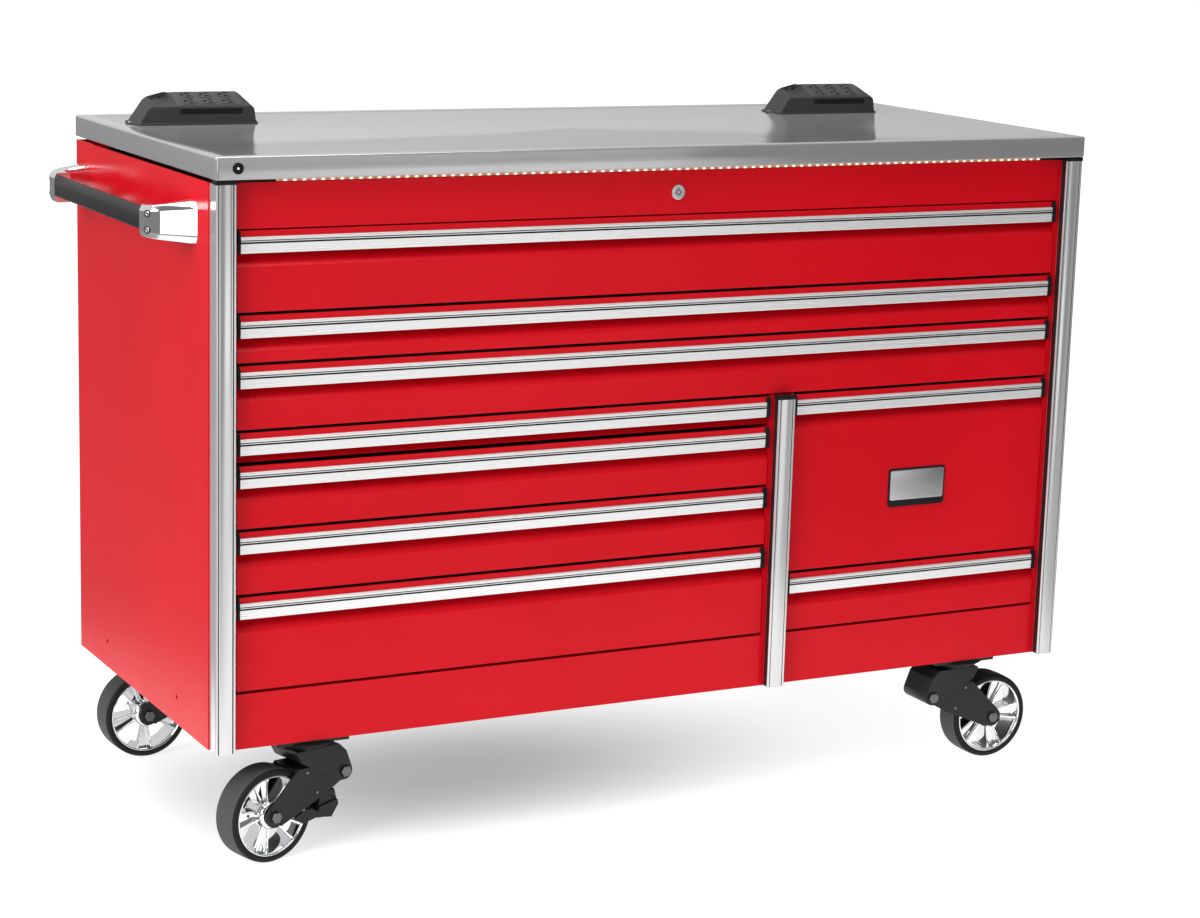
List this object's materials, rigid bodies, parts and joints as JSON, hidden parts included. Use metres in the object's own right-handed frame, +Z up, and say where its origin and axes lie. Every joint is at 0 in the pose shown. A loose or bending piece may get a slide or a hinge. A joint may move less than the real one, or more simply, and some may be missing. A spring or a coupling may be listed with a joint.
{
  "type": "rolling tool cabinet",
  "caption": "Wide red rolling tool cabinet with drawers in two banks, steel worktop, power strips, side push handle and sprung casters",
  "frame": {"origin": "on the floor under the middle of the outline in plan, side handle and light bezel included", "axes": "X along the front to the right, Y from the drawer fronts to the back, Z up"},
  "size_m": [1.805, 0.7516, 1.2713],
  "materials": {
    "red_paint": "gloss powder coat",
    "stainless": "brushed stainless sheet",
    "dark_board": "dark sealed board",
    "light_lens": "frosted lens",
    "aluminium_trim": "anodised extrusion",
    "zinc_steel": "zinc plated",
    "black_plastic": "fine texture",
    "grip_rubber": "soft matt sleeve",
    "chrome": "bright plating",
    "strip_plastic": "grained housing",
    "black_paint": "satin black",
    "wheel_rubber": "hard rubber on a plated rim"
  },
  "bodies": {
    "cabinet": {"left_side_panel": "red_paint", "right_side_panel": "red_paint", "back_panel": "red_paint", "floor_pan": "black_paint", "front_frame": "red_paint", "bank_divider": "red_paint", "worktop": "stainless", "worktop_core": "dark_board", "light_strip": "light_lens", "trim_posts": "aluminium_trim", "post_caps": "black_plastic", "cabinet_rails": "zinc_steel", "handle_grip": "grip_rubber", "handle_brackets": "chrome", "lock_housing": "chrome", "switch_bezel": "black_plastic", "power_strips": "strip_plastic", "caster_mounts": "black_paint"},
    "drawer_body_1": {"drawer_1": "red_paint", "pull_1": "aluminium_trim"},
    "slide_body_1": {"slide_1": "zinc_steel"},
    "drawer_body_2": {"drawer_2": "red_paint", "pull_2": "aluminium_trim"},
    "slide_body_2": {"slide_2": "zinc_steel"},
    "drawer_body_3": {"drawer_3": "red_paint", "pull_3": "aluminium_trim"},
    "slide_body_3": {"slide_3": "zinc_steel"},
    "drawer_body_4": {"drawer_4": "red_paint", "pull_4": "aluminium_trim"},
    "slide_body_4": {"slide_4": "zinc_steel"},
    "drawer_body_5": {"drawer_5": "red_paint", "pull_5": "aluminium_trim"},
    "slide_body_5": {"slide_5": "zinc_steel"},
    "drawer_body_6": {"drawer_6": "red_paint", "pull_6": "aluminium_trim"},
    "slide_body_6": {"slide_6": "zinc_steel"},
    "drawer_body_7": {"drawer_7": "red_paint", "pull_7": "aluminium_trim"},
    "slide_body_7": {"slide_7": "zinc_steel"},
    "drawer_body_8": {"drawer_8": "red_paint", "pull_8": "aluminium_trim"},
    "slide_body_8": {"slide_8": "zinc_steel"},
    "drawer_body_9": {"drawer_9": "red_paint", "pull_9": "aluminium_trim"},
    "slide_body_9": {"slide_9": "zinc_steel"},
    "lock_plug_body": {"lock_plug": "chrome"},
    "light_button_body": {"light_button": "black_plastic"},
    "rocker_left_body": {"rocker_left": "black_plastic"},
    "rocker_right_body": {"rocker_right": "black_plastic"},
    "swivel_fork_front_body": {"swivel_fork_front": "black_paint"},
    "arm_front_left": {"swing_arm_front_left": "black_paint"},
    "wheel_body_front_left": {"wheel_front_left": "wheel_rubber"},
    "brake_pedal_body": {"brake_pedal": "black_paint"},
    "swivel_fork_rear_body": {"swivel_fork_rear": "black_paint"},
    "arm_rear_left": {"swing_arm_rear_left": "black_paint"},
    "wheel_body_rear_left": {"wheel_rear_left": "wheel_rubber"},
    "arm_front_right": {"swing_arm_front_right": "black_paint"},
    "wheel_body_front_right": {"wheel_front_right": "wheel_rubber"},
    "arm_rear_right": {"swing_arm_rear_right": "black_paint"},
    "wheel_body_rear_right": {"wheel_rear_right": "wheel_rubber"}
  },
  "joints": [
    {"name": "drawer_1_slide", "type": "slide", "parent": "cabinet", "child": "drawer_body_1", "axis": [0, -1, 0], "range_m": [0, 0.6]},
    {"name": "runner_1_slide", "type": "slide", "parent": "cabinet", "child": "slide_body_1", "axis": [0, -1, 0], "range_m": [0, 0.3]},
    {"name": "drawer_2_slide", "type": "slide", "parent": "cabinet", "child": "drawer_body_2", "axis": [0, -1, 0], "range_m": [0, 0.6]},
    {"name": "runner_2_slide", "type": "slide", "parent": "cabinet", "child": "slide_body_2", "axis": [0, -1, 0], "range_m": [0, 0.3]},
    {"name": "drawer_3_slide", "type": "slide", "parent": "cabinet", "child": "drawer_body_3", "axis": [0, -1, 0], "range_m": [0, 0.6]},
    {"name": "runner_3_slide", "type": "slide", "parent": "cabinet", "child": "slide_body_3", "axis": [0, -1, 0], "range_m": [0, 0.3]},
    {"name": "drawer_4_slide", "type": "slide", "parent": "cabinet", "child": "drawer_body_4", "axis": [0, -1, 0], "range_m": [0, 0.6]},
    {"name": "runner_4_slide", "type": "slide", "parent": "cabinet", "child": "slide_body_4", "axis": [0, -1, 0], "range_m": [0, 0.3]},
    {"name": "drawer_5_slide", "type": "slide", "parent": "cabinet", "child": "drawer_body_5", "axis": [0, -1, 0], "range_m": [0, 0.6]},
    {"name": "runner_5_slide", "type": "slide", "parent": "cabinet", "child": "slide_body_5", "axis": [0, -1, 0], "range_m": [0, 0.3]},
    {"name": "drawer_6_slide", "type": "slide", "parent": "cabinet", "child": "drawer_body_6", "axis": [0, -1, 0], "range_m": [0, 0.6]},
    {"name": "runner_6_slide", "type": "slide", "parent": "cabinet", "child": "slide_body_6", "axis": [0, -1, 0], "range_m": [0, 0.3]},
    {"name": "drawer_7_slide", "type": "slide", "parent": "cabinet", "child": "drawer_body_7", "axis": [0, -1, 0], "range_m": [0, 0.6]},
    {"name": "runner_7_slide", "type": "slide", "parent": "cabinet", "child": "slide_body_7", "axis": [0, -1, 0], "range_m": [0, 0.3]},
    {"name": "drawer_8_slide", "type": "slide", "parent": "cabinet", "child": "drawer_body_8", "axis": [0, -1, 0], "range_m": [0, 0.6]},
    {"name": "runner_8_slide", "type": "slide", "parent": "cabinet", "child": "slide_body_8", "axis": [0, -1, 0], "range_m": [0, 0.3]},
    {"name": "drawer_9_slide", "type": "slide", "parent": "cabinet", "child": "drawer_body_9", "axis": [0, -1, 0], "range_m": [0, 0.6]},
    {"name": "runner_9_slide", "type": "slide", "parent": "cabinet", "child": "slide_body_9", "axis": [0, -1, 0], "range_m": [0, 0.3]},
    {"name": "lock_turn", "type": "hinge", "parent": "cabinet", "child": "lock_plug_body", "pos_m": [0.039, -0.35175, 1.1353], "axis": [0, 1, 0], "range_deg": [0, 90]},
    {"name": "light_push", "type": "slide", "parent": "cabinet", "child": "light_button_body", "axis": [0, 1, 0], "range_m": [0, 0.001], "stiffness_N_per_m": 800, "springref_m": -0.002},
    {"name": "rocker_left_tip", "type": "hinge", "parent": "cabinet", "child": "rocker_left_body", "pos_m": [-0.72386, 0.20775, 1.26011], "axis": [0, 1, 0], "range_deg": [-14, 0]},
    {"name": "rocker_right_tip", "type": "hinge", "parent": "cabinet", "child": "rocker_right_body", "pos_m": [0.60314, 0.20775, 1.26011], "axis": [0, 1, 0], "range_deg": [-14, 0]},
    {"name": "front_left_swivel", "type": "hinge", "parent": "cabinet", "child": "swivel_fork_front_body", "pos_m": [-0.6385, -0.30125, 0.211], "axis": [0, 0, 1], "continuous": true},
    {"name": "front_left_arm", "type": "hinge", "parent": "swivel_fork_front_body", "child": "arm_front_left", "pos_m": [-0.57765, -0.28494, 0.1393], "axis": [-0.2588, 0.9659, 0], "range_deg": [0, 5], "stiffness_Nm_per_rad": 2500, "springref_deg": -6.88},
    {"name": "front_left_wheel", "type": "hinge", "parent": "arm_front_left", "child": "wheel_body_front_left", "pos_m": [-0.71771, -0.32247, 0.0833], "axis": [-0.2588, 0.9659, 0], "continuous": true},
    {"name": "brake_lift", "type": "hinge", "parent": "arm_front_left", "child": "brake_pedal_body", "pos_m": [-0.6327, -0.2997, 0.1103], "axis": [0.2588, -0.9659, 0], "range_deg": [0, 12]},
    {"name": "rear_left_swivel", "type": "hinge", "parent": "cabinet", "child": "swivel_fork_rear_body", "pos_m": [-0.6385, 0.32575, 0.211], "axis": [0, 0, 1], "continuous": true},
    {"name": "rear_left_arm", "type": "hinge", "parent": "swivel_fork_rear_body", "child": "arm_rear_left", "pos_m": [-0.57565, 0.33015, 0.1393], "axis": [-0.0698, 0.9976, 0], "range_deg": [0, 5], "stiffness_Nm_per_rad": 2500, "springref_deg": -6.88},
    {"name": "rear_left_wheel", "type": "hinge", "parent": "arm_rear_left", "child": "wheel_body_rear_left", "pos_m": [-0.7203, 0.32003, 0.0833], "axis": [-0.0698, 0.9976, 0], "continuous": true},
    {"name": "front_right_arm", "type": "hinge", "parent": "cabinet", "child": "arm_front_right", "pos_m": [0.6465, -0.30125, 0.1393], "axis": [0, -1, 0], "range_deg": [0, 5], "stiffness_Nm_per_rad": 2500, "springref_deg": -6.88},
    {"name": "front_right_wheel", "type": "hinge", "parent": "arm_front_right", "child": "wheel_body_front_right", "pos_m": [0.7915, -0.30125, 0.0833], "axis": [0, -1, 0], "continuous": true},
    {"name": "rear_right_arm", "type": "hinge", "parent": "cabinet", "child": "arm_rear_right", "pos_m": [0.6465, 0.32575, 0.1393], "axis": [0, -1, 0], "range_deg": [0, 5], "stiffness_Nm_per_rad": 2500, "springref_deg": -6.88},
    {"name": "rear_right_wheel", "type": "hinge", "parent": "arm_rear_right", "child": "wheel_body_rear_right", "pos_m": [0.7915, 0.32575, 0.0833], "axis": [0, -1, 0], "continuous": true}
  ],
  "couplings": [
    {"joint": "runner_1_slide", "follows": "drawer_1_slide", "ratio": 0.5},
    {"joint": "runner_2_slide", "follows": "drawer_2_slide", "ratio": 0.5},
    {"joint": "runner_3_slide", "follows": "drawer_3_slide", "ratio": 0.5},
    {"joint": "runner_4_slide", "follows": "drawer_4_slide", "ratio": 0.5},
    {"joint": "runner_5_slide", "follows": "drawer_5_slide", "ratio": 0.5},
    {"joint": "runner_6_slide", "follows": "drawer_6_slide", "ratio": 0.5},
    {"joint": "runner_7_slide", "follows": "drawer_7_slide", "ratio": 0.5},
    {"joint": "runner_8_slide", "follows": "drawer_8_slide", "ratio": 0.5},
    {"joint": "runner_9_slide", "follows": "drawer_9_slide", "ratio": 0.5}
  ]
}
